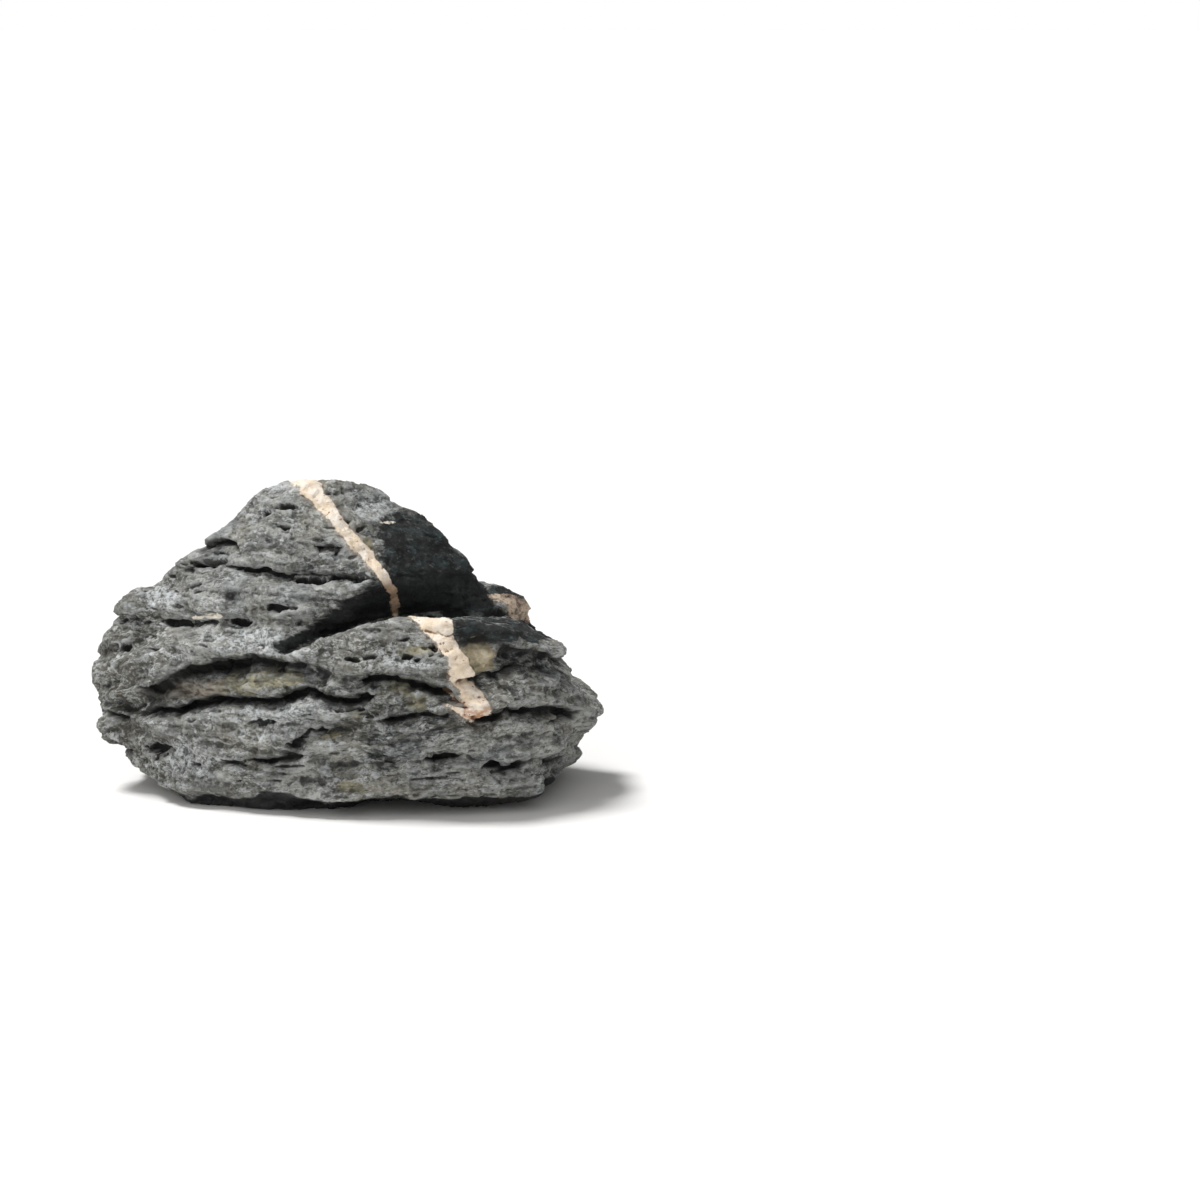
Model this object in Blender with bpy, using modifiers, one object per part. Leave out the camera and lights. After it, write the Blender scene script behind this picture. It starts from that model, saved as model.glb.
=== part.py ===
"""A seiryu stone: one piece of bedded, weathered limestone with a calcite vein, lying on its underside.

The tables below are in millimetres and the model is in metres, +Z up. The long side runs along X,
the face with the vein looks along -Y, and the origin is under the stone's middle, on the surface
that it rests on.
"""

import math

import bmesh
import bpy
import numpy as np
from mathutils import noise

MM = 0.001

# Overall size of the stone.
LENGTH = 228.0
DEPTH = 136.0
HEIGHT = 139.0

# The main masses that the stone is made of, each the hull of its corners. The body carries the
# crown and the left end. The foot is the block in front, under the recess.
BODY = [
    (-24, 4, 140), (-14, -6, 139), (4, 4, 138.5), (15, 14, 136), (-18, 30, 131), (12, 36, 124),
    (2, -18, 124), (15, -33, 105), (21, -37, 98),
    (30, 14, 128), (45, 13, 119), (54, 12, 107), (65, 8, 88), (54, 40, 88), (32, 50, 100),
    (-31, 0, 133), (-40, 0, 121), (-64, 0, 104), (-94, 0, 84), (-103, -2, 70), (-110, -2, 55),
    (-109, -2, 34), (-104, -2, 22), (-88, -4, 9), (-80, -8, -4), (-68, -38, -5),
    (-40, -20, 114), (-58, -36, 66), (-84, -28, 50), (-28, -46, 68), (-20, -50, -5),
    (40, -40, -5), (60, -20, 60), (70, 6, 70),
    (-93, 30, 56), (-84, 34, -4), (-66, 40, 82), (-30, 56, 96), (-24, 62, -5), (50, 56, -5),
    (45, 54, 60),
]
FOOT = [
    (-34, -47, 60), (-18, -50, 67), (4, -50, 78), (28, -50, 86), (50, -54, 88), (72, -48, 82),
    (97, -34, 70),
    (-20, -30, 52), (20, -6, 66), (44, 6, 72), (64, 8, 74), (92, 10, 70),
    (106, -22, 52), (114, -15, 33), (110, -20, -5), (104, 34, -5), (110, 26, 40), (96, 30, 62),
    (-48, -50, 42), (-12, -60, 44), (24, -66, 50), (48, -69, 54), (78, -60, 48), (100, -42, 44),
    (-76, -34, 36), (-80, -26, 14), (-64, -42, 8), (-20, -58, 7), (40, -63, 6), (92, -50, 2),
    (60, 52, -5), (-30, 30, -5), (-56, -22, -5), (40, -44, -5),
]
REAR_LEDGE = [
    (62, 6, 83), (70, 36, 83), (90, 40, 76), (102, 34, 58), (62, 56, 68), (20, 60, 82), (34, 30, 88),
    (102, 34, -5), (44, 62, -5), (-28, 60, -5), (-24, 60, 46), (50, 64, 50),
]

# What is cut away: the deep recess across the face, and three corners that broke off.
RECESS = [
    (-32, -90, 57), (-31, -44, 61), (-12, -41, 82), (4, -39, 95), (18, -36, 98), (34, -26, 92),
    (64, -10, 87), (80, -10, 84), (-20, -33, 60), (0, -22, 66), (24, -12, 74), (44, 2, 76), (70, 6, 76),
    (4, -90, 100), (80, -90, 95), (-20, -90, 40), (80, -90, 40), (-16, -36, 40), (70, 0, 40),
]
LEFT_BACK_BREAK = [
    (-110, 34, 60), (-50, 70, 34), (-50, 90, 34), (-110, 90, 60),
    (-120, 60, 110), (-44, 40, 104), (-44, 90, 104), (-96, 26, 78),
]
BACK_BREAK = [
    (8, 58, 60), (44, 52, 56), (48, 90, 56), (8, 90, 60),
    (2, 52, 110), (40, 44, 100), (48, 90, 110), (2, 90, 110),
]
RIGHT_END_BREAK = [
    (103, -44, 33), (114, 12, 27), (130, 44, 24), (130, -60, 33),
    (84, -48, -20), (92, 14, -20), (104, 50, -20), (130, 40, -20), (130, -70, -20),
]

# How the beds lie in the rock. They roll in waves (rise, length, seed), dip to the back, and fan
# out to the right about the height FAN_MIDDLE.
BED_ROLL = [(9.0, 95.0, 1), (3.0, 38.0, 2), (0.8, 15.0, 4)]
BED_DIP = 0.12
FAN_MIDDLE = 62.0
FAN_LENGTH = 620.0
ACROSS_BEDS = (0.02, 0.12, 1.0)

# How the beds have weathered: how thick they are and how long their patches, how far each one
# stands out of its neighbours, how far its foot overhangs, how far the worn ends bulge at the left,
# and how deep the slots between them and the odd crevices are.
BED_THICKNESS = 13.0
BED_LENGTH = 42.0
BED_REACH = 5.2
BED_OVERHANG = 2.6
BED_BULGE = 3.4
SLOT_DEPTH = 5.5
CREVICE_DEPTH = 5.0

# Crevices of the face, as lines seen from the front: x, and the height up the view, which looks
# down by VIEW_TILT. Each opens wide below its line and stays sharp above it, under a swollen lip.
VIEW_TILT = math.radians(10)
SHARP_WALL = 0.9
LIP_HEIGHT = 3.0
LIP_SWELL = 0.22
CREVICES = [
    {"open": 3.5, "deep": 8.0,
     "line": [(-90, 94), (-80, 93), (-71, 95), (-63, 100), (-53, 101), (-42, 98), (5, 93)]},
    {"open": 3.0, "deep": 8.0,
     "line": [(-118, 76), (-90, 76), (-80, 74), (-46, 74), (-37, 78), (-23, 82)]},
    {"open": 4.6, "deep": 11.0,
     "line": [(-118, 44), (-103, 38), (-86, 41), (-62, 54), (-32, 58), (-10, 55)]},
    {"open": 2.6, "deep": 10.0,
     "line": [(-84, 35), (-68, 36), (-54, 41), (-24, 41), (-10, 44), (8, 40), (17, 43)]},
    {"open": 3.0, "deep": 7.0, "line": [(-15, 20), (-8, 27), (9, 29), (20, 27)]},
    {"open": 3.0, "deep": 7.0, "line": [(-50, 13), (-35, 14), (-14, 16)]},
    {"open": 2.6, "deep": 9.0, "line": [(18, 51), (37, 49), (50, 45), (56, 40)]},
    {"open": 2.6, "deep": 8.0, "line": [(60, 49), (72, 51), (80, 56)]},
    {"open": 2.6, "deep": 7.0, "line": [(27, 33), (50, 35)]},
    {"open": 5.0, "deep": 9.0, "line": [(64, 68), (84, 62), (95, 59), (112, 54)]},
    {"open": 3.5, "deep": 7.0, "line": [(-70, 112), (-56, 108), (-46, 110)]},
    {"open": 2.4, "deep": 5.0, "line": [(-118, 35), (-105, 34), (-96, 32)]},
    {"open": 3.5, "deep": 6.0, "line": [(-118, 20), (-104, 20), (-96, 18), (-88, 14)]},
    {"open": 3.0, "deep": 7.0, "line": [(66, 34), (84, 37), (104, 35)]},
    {"open": 3.0, "deep": 6.0, "line": [(-2, 18), (24, 14), (52, 17), (76, 12), (100, 15)]},
]
RIB = {"high": 3.4, "wide": 4.4, "line": [(34, 79), (50, 79), (62, 77), (74, 73), (84, 69), (97, 64)]}

# The calcite vein is a sheet through the stone, up the face, over the crown and down the back.
# It stands proud on the foot. Its place along X is given by height, and it leans back by VEIN_LEAN.
VEIN_HEIGHTS = [47, 87, 105, 137]
VEIN_PLACES = [31, 15.5, 0.5, -10]
VEIN_LEAN = 0.54
VEIN_HALF_WIDTH = 4.5
VEIN_PROUD = 1.6

# The underside is hollowed, so that the stone rests on the patches between its hollows.
UNDERSIDE_LIFT = 5.0
UNDERSIDE_HOLLOWS = 8.0
HOLLOW_LENGTH = 48.0

# Fineness of the working meshes, and of the solid.
MASS_VOXEL = 1.6
BED_VOXEL = 1.7
TRIANGLES = 9400


def hull(name, corners, collection):
    """The tight skin round a mass's corners."""
    shape = bmesh.new()
    for corner in corners:
        shape.verts.new([c * MM for c in corner])
    made = bmesh.ops.convex_hull(shape, input=shape.verts)
    inside = [v for v in made["geom_interior"] if isinstance(v, bmesh.types.BMVert)]
    bmesh.ops.delete(shape, geom=inside, context="VERTS")
    bmesh.ops.recalc_face_normals(shape, faces=shape.faces)
    mesh = bpy.data.meshes.new(name)
    shape.to_mesh(mesh)
    shape.free()
    mass = bpy.data.objects.new(name, mesh)
    mass.hide_render = True
    mass.display_type = "WIRE"
    collection.objects.link(mass)
    return mass


def combine(target, other, operation):
    modifier = target.modifiers.new(other.name, "BOOLEAN")
    modifier.operation = operation
    modifier.object = other


def take_result(obj):
    """Replace the object's mesh by what its modifiers make of it."""
    graph = bpy.context.evaluated_depsgraph_get()
    result = bpy.data.meshes.new_from_object(obj.evaluated_get(graph))
    obj.modifiers.clear()
    obj.data = result


def remesh(obj, voxel):
    modifier = obj.modifiers.new("even skin", "REMESH")
    modifier.mode = "VOXEL"
    modifier.voxel_size = voxel * MM
    take_result(obj)


def read_points(mesh):
    flat = np.empty(len(mesh.vertices) * 3, np.float32)
    mesh.vertices.foreach_get("co", flat)
    return flat.reshape(-1, 3).astype(float) / MM


def write_points(mesh, points):
    mesh.vertices.foreach_set("co", (points * MM).astype(np.float32).ravel())
    mesh.update()


def read_edges(mesh):
    flat = np.empty(len(mesh.edges) * 2, np.int32)
    mesh.edges.foreach_get("vertices", flat)
    return flat.reshape(-1, 2)


def smoothed(values, edges, rounds):
    """Values of the points, each averaged with its neighbours' a number of times."""
    count = len(values)
    neighbours = np.bincount(edges.ravel(), minlength=count)
    for _ in range(rounds):
        columns = []
        for column in values.T:
            there = np.bincount(edges[:, 0], column[edges[:, 1]], count)
            back = np.bincount(edges[:, 1], column[edges[:, 0]], count)
            columns.append((there + back) / neighbours)
        values = 0.5 * values + 0.5 * np.column_stack(columns)
    return values


def read_normals(mesh, edges, rounds):
    flat = np.empty(len(mesh.vertices) * 3, np.float32)
    mesh.vertices.foreach_get("normal", flat)
    normals = smoothed(flat.reshape(-1, 3).astype(float), edges, rounds)
    return normals / np.linalg.norm(normals, axis=1, keepdims=True)


def ramp(value, start, end):
    """0 before start, 1 after end, and a smooth step between."""
    t = np.clip((value - start) / (end - start), 0, 1)
    return t * t * (3 - 2 * t)


def bell(value, width):
    return np.exp(-(value / width) ** 2)


def waves(points, size, seed, octaves=1):
    """Smooth noise with waves of the given size, about -0.5 to 0.5 for one octave."""
    places = (points / np.array(size) + seed * np.array([13.7, 7.3, 29.1])).tolist()
    if octaves == 1:
        return np.array([noise.noise(place) for place in places])
    return np.array([noise.fractal(place, 0.9, 2.0, octaves) for place in places])


def bed_height(points):
    """Height across the beds."""
    x, y, z = points.T
    height = z + x * (z - FAN_MIDDLE) / FAN_LENGTH + BED_DIP * y
    for rise, length, seed in BED_ROLL:
        height = height + rise * waves(points, (length,) * 3, seed)
    return height


def sideways(normals):
    """The normals with most of their part across the beds taken out."""
    across = np.array(ACROSS_BEDS) / np.linalg.norm(ACROSS_BEDS)
    return normals - 0.85 * (normals @ across)[:, None] * across


def bed_relief(points, height):
    """How far each point of a bed stands out, its foot overhangs, its end bulges, and the slot under it."""
    drift = [noise.noise((0, 15.3, h)) for h in (height / (2.3 * BED_THICKNESS)).tolist()]
    level = height / BED_THICKNESS + 0.9 * np.array(drift)
    bed = np.floor(level)
    within = level - bed

    def bed_noise(number, seed):
        flat = np.column_stack([points[:, 0], points[:, 1], number * 37.7 * BED_LENGTH])
        return waves(flat, (BED_LENGTH,) * 3, seed, 2)

    to_next = ramp(within, 0.84, 1.0)
    reach = bed_noise(bed, 3) * (1 - to_next) + bed_noise(bed + 1, 3) * to_next
    overhang = 0.5 - within * (1 - to_next)
    bulge = np.sin(math.pi * within) - 0.6
    slot = ramp(bed_noise(bed + 40, 4), -0.05, 0.2) * bell(within - 0.86, 0.09)
    return reach, overhang, bulge, slot


def front_view(points):
    x, y, z = points.T
    return x, z * math.cos(VIEW_TILT) + y * math.sin(VIEW_TILT)


def from_line(u, v, line):
    """Height above a line of the front view, and the distance to it."""
    distance = np.full(len(u), 1e9)
    above = np.zeros(len(u))
    for (u0, v0), (u1, v1) in zip(line, line[1:]):
        run, rise = u1 - u0, v1 - v0
        along = np.clip(((u - u0) * run + (v - v0) * rise) / (run * run + rise * rise), 0, 1)
        gap_u = u - u0 - along * run
        gap_v = v - v0 - along * rise
        gap = np.hypot(gap_u, gap_v)
        above = np.where(gap < distance, gap_v, above)
        distance = np.minimum(distance, gap)
    return above, distance


def drawn_crevices(points, normals):
    """Depth of the face's crevices, less the lip that swells over each."""
    u, v = front_view(points)
    v = v + waves(points, (16, 16, 16), 40) + 0.5 * waves(points, (6, 6, 6), 41)
    depth = np.zeros(len(points))
    lip = np.zeros(len(points))
    for crevice in CREVICES:
        above, distance = from_line(u, v, crevice["line"])
        below_line = np.exp(-(distance / crevice["open"]) ** 1.4)
        wall = np.where(above > 0, bell(distance, SHARP_WALL), below_line)
        depth = np.maximum(depth, crevice["deep"] * wall)
        swell = bell(above - LIP_HEIGHT, 2.6) * np.exp(-(distance / 7.0) ** 4) * (above > 0)
        lip = np.maximum(lip, LIP_SWELL * crevice["deep"] * swell)
    facing = ramp(-normals[:, 1], -0.45, -0.05)
    return (depth - lip * (depth < 0.4)) * facing


def drawn_rib(points, normals):
    """The rounded rib along the top edge of the foot, right of the vein."""
    u, v = front_view(points)
    above, distance = from_line(u, v + 0.8 * waves(points, (14, 14, 14), 44), RIB["line"])
    facing = ramp(-normals[:, 1], -0.3, 0.1)
    return RIB["high"] * bell(distance, RIB["wide"]) * facing * ramp(u, 38, 60)


def vein_relief(points):
    x, y, z = points.T
    at = np.interp(z, VEIN_HEIGHTS, VEIN_PLACES) - VEIN_LEAN * y
    across = np.abs(x - at + 1.3 * waves(points, (17, 17, 17), 50))
    on_foot = ramp(-y, 40, 45) * ramp(z, 44, 47) * ramp(-z, -92, -88)
    return VEIN_PROUD * on_foot * ramp(-across, -VEIN_HALF_WIDTH - 1.0, -VEIN_HALF_WIDTH)


def roll_surface(mesh):
    """Take the sharp edges off the masses and give them slow rises and hollows."""
    edges = read_edges(mesh)
    points = smoothed(read_points(mesh), edges, 4)
    write_points(mesh, points)
    normals = read_normals(mesh, edges, 6)
    x, y, z = points.T
    wilder = 1 + 0.9 * ramp(y, -5, 25) + 0.9 * ramp(x, 85, 105)
    rise = 2.8 * wilder * waves(points, (46, 46, 34), 11, 2) + 1.4 * waves(points, (17, 17, 12), 12)
    below = ramp(-normals[:, 2], 0.3, 0.8) * ramp(-z, -12, -6)
    lift = UNDERSIDE_LIFT + UNDERSIDE_HOLLOWS * waves(points, (HOLLOW_LENGTH,) * 3, 60)
    points += normals * rise[:, None]
    points[:, 2] += below * lift
    write_points(mesh, points)


def carve_beds(mesh):
    """Weather the sides back bed by bed, and open the crevices."""
    edges = read_edges(mesh)
    points = read_points(mesh)
    normals = read_normals(mesh, edges, 5)
    x, y, z = points.T
    side = sideways(normals)
    height = bed_height(points)

    # The right face is nearly smooth, the crown and the upper left are calmer than the rest, and
    # the back is bedded all over.
    forward = ramp(-y, -20, 0)
    right_face = ramp(normals[:, 0], 0.1, 0.5) * ramp(z, 74, 84) * ramp(x, 12, 30) * forward
    crown = ramp(z, 100, 115) * forward
    upper_left = ramp(-x, 34, 50) * ramp(z, 66, 84) * forward
    back = ramp(y, 0, 25)
    bedded = np.maximum(ramp(waves(points, (60, 60, 30), 27, 2), -0.35, 0.15), 0.6 * back)
    strength = (1 - 0.8 * right_face) * (1 - 0.45 * crown) * (1 - 0.45 * upper_left)
    strength *= 0.35 + 0.65 * bedded

    # The left end's lower beds are worn round.
    worn_end = ramp(-x, 66, 90) * ramp(-z, -82, -68)
    reach, overhang, bulge, slot = bed_relief(points, height)
    profile = BED_OVERHANG * overhang * (1 - worn_end) + BED_BULGE * bulge * worn_end
    out = (BED_REACH * reach + profile - SLOT_DEPTH * slot) * strength
    warped = np.column_stack([x, y, height])
    wild = ramp(-np.abs(waves(warped, (70, 70, 15), 21, 2)), -0.07, 0.0)
    out -= CREVICE_DEPTH * wild * (0.4 + 0.6 * strength) * (1 - 0.8 * right_face)
    out -= drawn_crevices(points, normals)
    out += drawn_rib(points, normals) + vein_relief(points)
    write_points(mesh, points + side * out[:, None])


def cut_flat(obj, cutters):
    """Cut the stone off at the surface that it rests on."""
    bpy.ops.mesh.primitive_cube_add(size=1, location=(0, 0, -0.05))
    table = bpy.context.object
    table.name = "resting plane"
    table.scale = (0.5, 0.5, 0.1)
    table.hide_render = True
    table.display_type = "WIRE"
    for collection in table.users_collection:
        collection.objects.unlink(table)
    cutters.objects.link(table)
    combine(obj, table, "DIFFERENCE")
    bpy.context.view_layer.update()
    take_result(obj)


def fit_to_size(mesh):
    """Scale and centre the stone to its overall size, standing on Z = 0."""
    points = read_points(mesh)
    low, high = points.min(axis=0), points.max(axis=0)
    middle = np.array([(low[0] + high[0]) / 2, (low[1] + high[1]) / 2, low[2]])
    write_points(mesh, (points - middle) * np.array([LENGTH, DEPTH, HEIGHT]) / (high - low))


def limestone():
    material = bpy.data.materials.new("weathered limestone")
    material.use_nodes = True
    shader = material.node_tree.nodes["Principled BSDF"]
    grey = (0.13, 0.134, 0.134, 1)
    shader.inputs["Base Color"].default_value = grey
    shader.inputs["Roughness"].default_value = 0.85
    shader.inputs["Metallic"].default_value = 0.0
    material.diffuse_color = grey
    return material


for old in list(bpy.data.objects):
    bpy.data.objects.remove(old)
parts = bpy.data.collections.new("seiryu stone")
cutters = bpy.data.collections.new("masses and cutters")
bpy.context.scene.collection.children.link(parts)
bpy.context.scene.collection.children.link(cutters)

stone = bpy.data.objects.new("seiryu_stone", hull("body", BODY, cutters).data.copy())
parts.objects.link(stone)
combine(stone, hull("recess", RECESS, cutters), "DIFFERENCE")
combine(stone, hull("foot", FOOT, cutters), "UNION")
combine(stone, hull("rear ledge", REAR_LEDGE, cutters), "UNION")
combine(stone, hull("left back break", LEFT_BACK_BREAK, cutters), "DIFFERENCE")
combine(stone, hull("back break", BACK_BREAK, cutters), "DIFFERENCE")
combine(stone, hull("right end break", RIGHT_END_BREAK, cutters), "DIFFERENCE")
take_result(stone)

remesh(stone, MASS_VOXEL)
roll_surface(stone.data)
carve_beds(stone.data)
remesh(stone, BED_VOXEL)

fewer = stone.modifiers.new("faceted solid", "DECIMATE")
fewer.ratio = TRIANGLES / (2 * len(stone.data.polygons))
fewer.use_collapse_triangulate = True
take_result(stone)
cut_flat(stone, cutters)
fit_to_size(stone.data)
stone.data.materials.clear()
stone.data.materials.append(limestone())
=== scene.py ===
"""The looks of a seiryu stone: weathered, bedded limestone with a calcite vein, on a pale floor."""

import math

import bmesh
import bpy
import numpy as np
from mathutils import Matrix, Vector, noise


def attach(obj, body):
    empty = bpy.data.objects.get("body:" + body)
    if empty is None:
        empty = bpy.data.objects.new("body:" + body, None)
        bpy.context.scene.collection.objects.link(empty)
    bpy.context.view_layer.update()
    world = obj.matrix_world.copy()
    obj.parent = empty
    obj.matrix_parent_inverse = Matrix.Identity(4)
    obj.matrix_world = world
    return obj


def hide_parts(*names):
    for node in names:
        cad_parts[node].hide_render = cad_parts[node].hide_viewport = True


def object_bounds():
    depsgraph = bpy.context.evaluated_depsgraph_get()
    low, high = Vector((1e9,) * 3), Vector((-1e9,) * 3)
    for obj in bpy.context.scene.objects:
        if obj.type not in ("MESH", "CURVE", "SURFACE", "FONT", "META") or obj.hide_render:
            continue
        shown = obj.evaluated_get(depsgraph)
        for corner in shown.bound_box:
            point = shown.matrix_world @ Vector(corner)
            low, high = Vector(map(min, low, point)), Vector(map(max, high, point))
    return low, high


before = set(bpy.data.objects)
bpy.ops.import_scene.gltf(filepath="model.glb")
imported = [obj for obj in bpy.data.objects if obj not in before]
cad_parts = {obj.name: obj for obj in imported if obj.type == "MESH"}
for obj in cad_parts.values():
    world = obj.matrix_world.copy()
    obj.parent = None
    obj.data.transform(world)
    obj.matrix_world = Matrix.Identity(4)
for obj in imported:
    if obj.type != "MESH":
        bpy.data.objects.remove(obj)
cad_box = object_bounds()


# The stone: one piece of grey limestone, laid down in beds, folded, cracked and healed with calcite,
# and then eaten back by water along its beds, which left ledges with dark slots and pits under them.
# The solid gives its masses; its edges are made crisp here and its fine relief is carved, in millimetres.
MM = 0.001
SAME_POINT = 0.01

shape = bmesh.new()
shape.from_mesh(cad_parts["seiryu_stone"].data)
bmesh.ops.remove_doubles(shape, verts=shape.verts, dist=SAME_POINT * MM)
stone_mesh = bpy.data.meshes.new("stone")
shape.to_mesh(stone_mesh)
shape.free()
stone = bpy.data.objects.new("stone", stone_mesh)
bpy.context.scene.collection.objects.link(stone)

# The solid's facets become small equal faces, fine enough to carve, and lose their edges.
SKIN_FACE = 0.75
FACET_ROUNDS = 10


def take_result(obj):
    """Replace the object's mesh by what its modifiers make of it."""
    graph = bpy.context.evaluated_depsgraph_get()
    result = bpy.data.meshes.new_from_object(obj.evaluated_get(graph))
    obj.modifiers.clear()
    obj.data = result


def even_skin(obj):
    """Rebuild the object's mesh of small equal faces."""
    even = obj.modifiers.new("even skin", "REMESH")
    even.mode = "VOXEL"
    even.voxel_size = SKIN_FACE * MM
    take_result(obj)


def read_points(mesh):
    flat = np.empty(len(mesh.vertices) * 3, np.float32)
    mesh.vertices.foreach_get("co", flat)
    return flat.reshape(-1, 3).astype(float) / MM


def write_points(mesh, points):
    mesh.vertices.foreach_set("co", (points * MM).astype(np.float32).ravel())
    mesh.update()


def read_edges(mesh):
    flat = np.empty(len(mesh.edges) * 2, np.int32)
    mesh.edges.foreach_get("vertices", flat)
    return flat.reshape(-1, 2)


def smoothed(values, edges, rounds):
    """Values of the points, each averaged with its neighbours' a number of times."""
    count = len(values)
    first, second = edges.T
    neighbours = np.bincount(edges.ravel(), minlength=count)
    columns = values.reshape(count, -1).T
    for _ in range(rounds):
        averages = []
        for column in columns:
            total = np.bincount(first, column[second], count) + np.bincount(second, column[first], count)
            averages.append(total / neighbours)
        columns = 0.5 * columns + 0.5 * np.array(averages)
    return columns.T.reshape(values.shape)


def read_normals(mesh, edges, rounds):
    """The points' normals, smoothed a number of times."""
    flat = np.empty(len(mesh.vertices) * 3, np.float32)
    mesh.vertices.foreach_get("normal", flat)
    normals = smoothed(flat.reshape(-1, 3).astype(float), edges, rounds)
    return normals / np.linalg.norm(normals, axis=1, keepdims=True)


even_skin(stone)
mesh = stone.data
edges = read_edges(mesh)
points = smoothed(read_points(mesh), edges, FACET_ROUNDS)

# The relief is laid out in the frame of the solid's own crevices, where the stone is a little larger and
# stands to one side. The face's features are laid out as the face is seen from the front, a little from
# above: u to the right and v upwards.
CARVING_SCALE = np.array([0.9941, 0.9974, 1.0017])
CARVING_MIDDLE = np.array([4.715, -1.344, 0.0])
VIEW_TILT = math.radians(10)
CAMERA_AWAY = 1500.0
FRAME_CENTRE = (117.0, 83.7)


def carving_frame(points):
    return points / CARVING_SCALE + CARVING_MIDDLE


def front_view(points):
    x, y, z = points.T
    return x, z * math.cos(VIEW_TILT) + y * math.sin(VIEW_TILT)


def camera_view(points):
    """The front view as the camera sees it, where what is nearer is larger."""
    u, v = front_view(points)
    nearer = points[:, 2] * math.sin(VIEW_TILT) - points[:, 1] * math.cos(VIEW_TILT)
    larger = CAMERA_AWAY / (CAMERA_AWAY - nearer)
    middle_u, middle_v = FRAME_CENTRE
    return middle_u + (u - middle_u) * larger, middle_v + (v - middle_v) * larger


def from_line(u, v, line):
    """Height above a line of the view, and the distance to it."""
    distance = np.full(len(u), 1e9)
    above = np.zeros(len(u))
    for (u0, v0), (u1, v1) in zip(line, line[1:]):
        run, rise = u1 - u0, v1 - v0
        along = np.clip(((u - u0) * run + (v - v0) * rise) / (run * run + rise * rise), 0, 1)
        gap_u = u - u0 - along * run
        gap_v = v - v0 - along * rise
        gap = np.hypot(gap_u, gap_v)
        above = np.where(gap < distance, gap_v, above)
        distance = np.minimum(distance, gap)
    return above, distance


def ramp(value, start, end):
    """0 at the start, 1 at the end and a smooth step between, whichever of them is larger."""
    t = np.clip((value - start) / (end - start), 0, 1)
    return t * t * (3 - 2 * t)


def bell(value, width):
    """1 at 0, and falling away on both sides."""
    return np.exp(-(value / width) ** 2)


def patch(distance, reach):
    """Nearly 1 as far as the reach, and soon 0 beyond it."""
    return np.exp(-(distance / reach) ** 4)


# The broken right face, the rear ledge and the corner of the right end are calm: nothing shows there of
# how the solid was cut.
CALM_ROUNDS = 90
CALM_SHARE = 0.9


def calmed(points, edges, where):
    """The points with their small forms gone where the share is 1."""
    return points + CALM_SHARE * where[:, None] * (smoothed(points, edges, CALM_ROUNDS) - points)


x, y, z = carving_frame(points).T
broken_face = ramp(x, 0, 22) * ramp(z, 76, 90) * ramp(y, 45, 15)
rear_ledge = ramp(x, 55, 75) * ramp(z, 66, 76)
right_corner = patch(np.hypot(y - 33, z - 51), 13) * ramp(x, 70, 85)
points = calmed(points, edges, np.max([broken_face, rear_ledge, right_corner], axis=0))

# Crevices of the solid that have grown together again: how much of each, and its line in the front view.
HEALED = [
    (1.0, [(-78, 94), (-71, 95), (-63, 100), (-53, 101), (-42, 98), (5, 93)]),
    (1.0, [(-78, 74), (-46, 74), (-37, 78), (-23, 82)]),
    (1.0, [(-118, 44), (-103, 38), (-86, 41)]),
    (0.4, [(-86, 41), (-62, 54), (-32, 58), (-22, 57)]),
    (0.7, [(-70, 112), (-56, 108), (-46, 110)]),
    (0.8, [(-58, 12), (-47, 13)]),
    (0.9, [(-2, 28.5), (9, 29), (20, 27)]),
    (0.9, [(-8, 16.5), (24, 14), (34, 15)]),
]
HEALED_NONE, HEALED_FULLY = 10, 6
# How far back a normal leans where the lines of the front view end, and where they are full.
LINES_END = (0.45, 0.05)
BROAD_ROUNDS = 20

u, v = front_view(carving_frame(points))
healed = np.zeros(len(points))
for share, line in HEALED:
    _, distance = from_line(u, v, line)
    healed = np.maximum(healed, share * ramp(distance, HEALED_NONE, HEALED_FULLY))
healed *= ramp(read_normals(mesh, edges, BROAD_ROUNDS)[:, 1], *LINES_END)
points = calmed(points, edges, healed)

# The rear ledge ends in a blunt corner: its tip is pressed in.
TIP_STARTS = 82
TIP_PRESSED = 0.6
points[:, 0] -= TIP_PRESSED * np.maximum(x - TIP_STARTS, 0) * ramp(z, 68, 76)
write_points(mesh, points)

# Blunt ends of the beds at the left, which the solid cuts short: place in the front view, half width, and
# how far they stand out.
ENDS = [(-37, 130, 10, 2.0), (-95, 85, 10, 4.0), (-108, 56, 12, 3.0), (-104, 32, 8, 4.0), (-103, 22, 9, 2.0)]
END_ROUNDS = 3

u, v = front_view(carving_frame(points))
swell = np.zeros(len(points))
for end_u, end_v, wide, far in ENDS:
    swell = np.maximum(swell, far * patch(np.hypot(u - end_u, v - end_v), wide))
points += read_normals(mesh, edges, BROAD_ROUNDS) * swell[:, None]
write_points(mesh, points)
even_skin(stone)
mesh = stone.data
edges = read_edges(mesh)
points = smoothed(read_points(mesh), edges, END_ROUNDS)
write_points(mesh, points)

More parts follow.
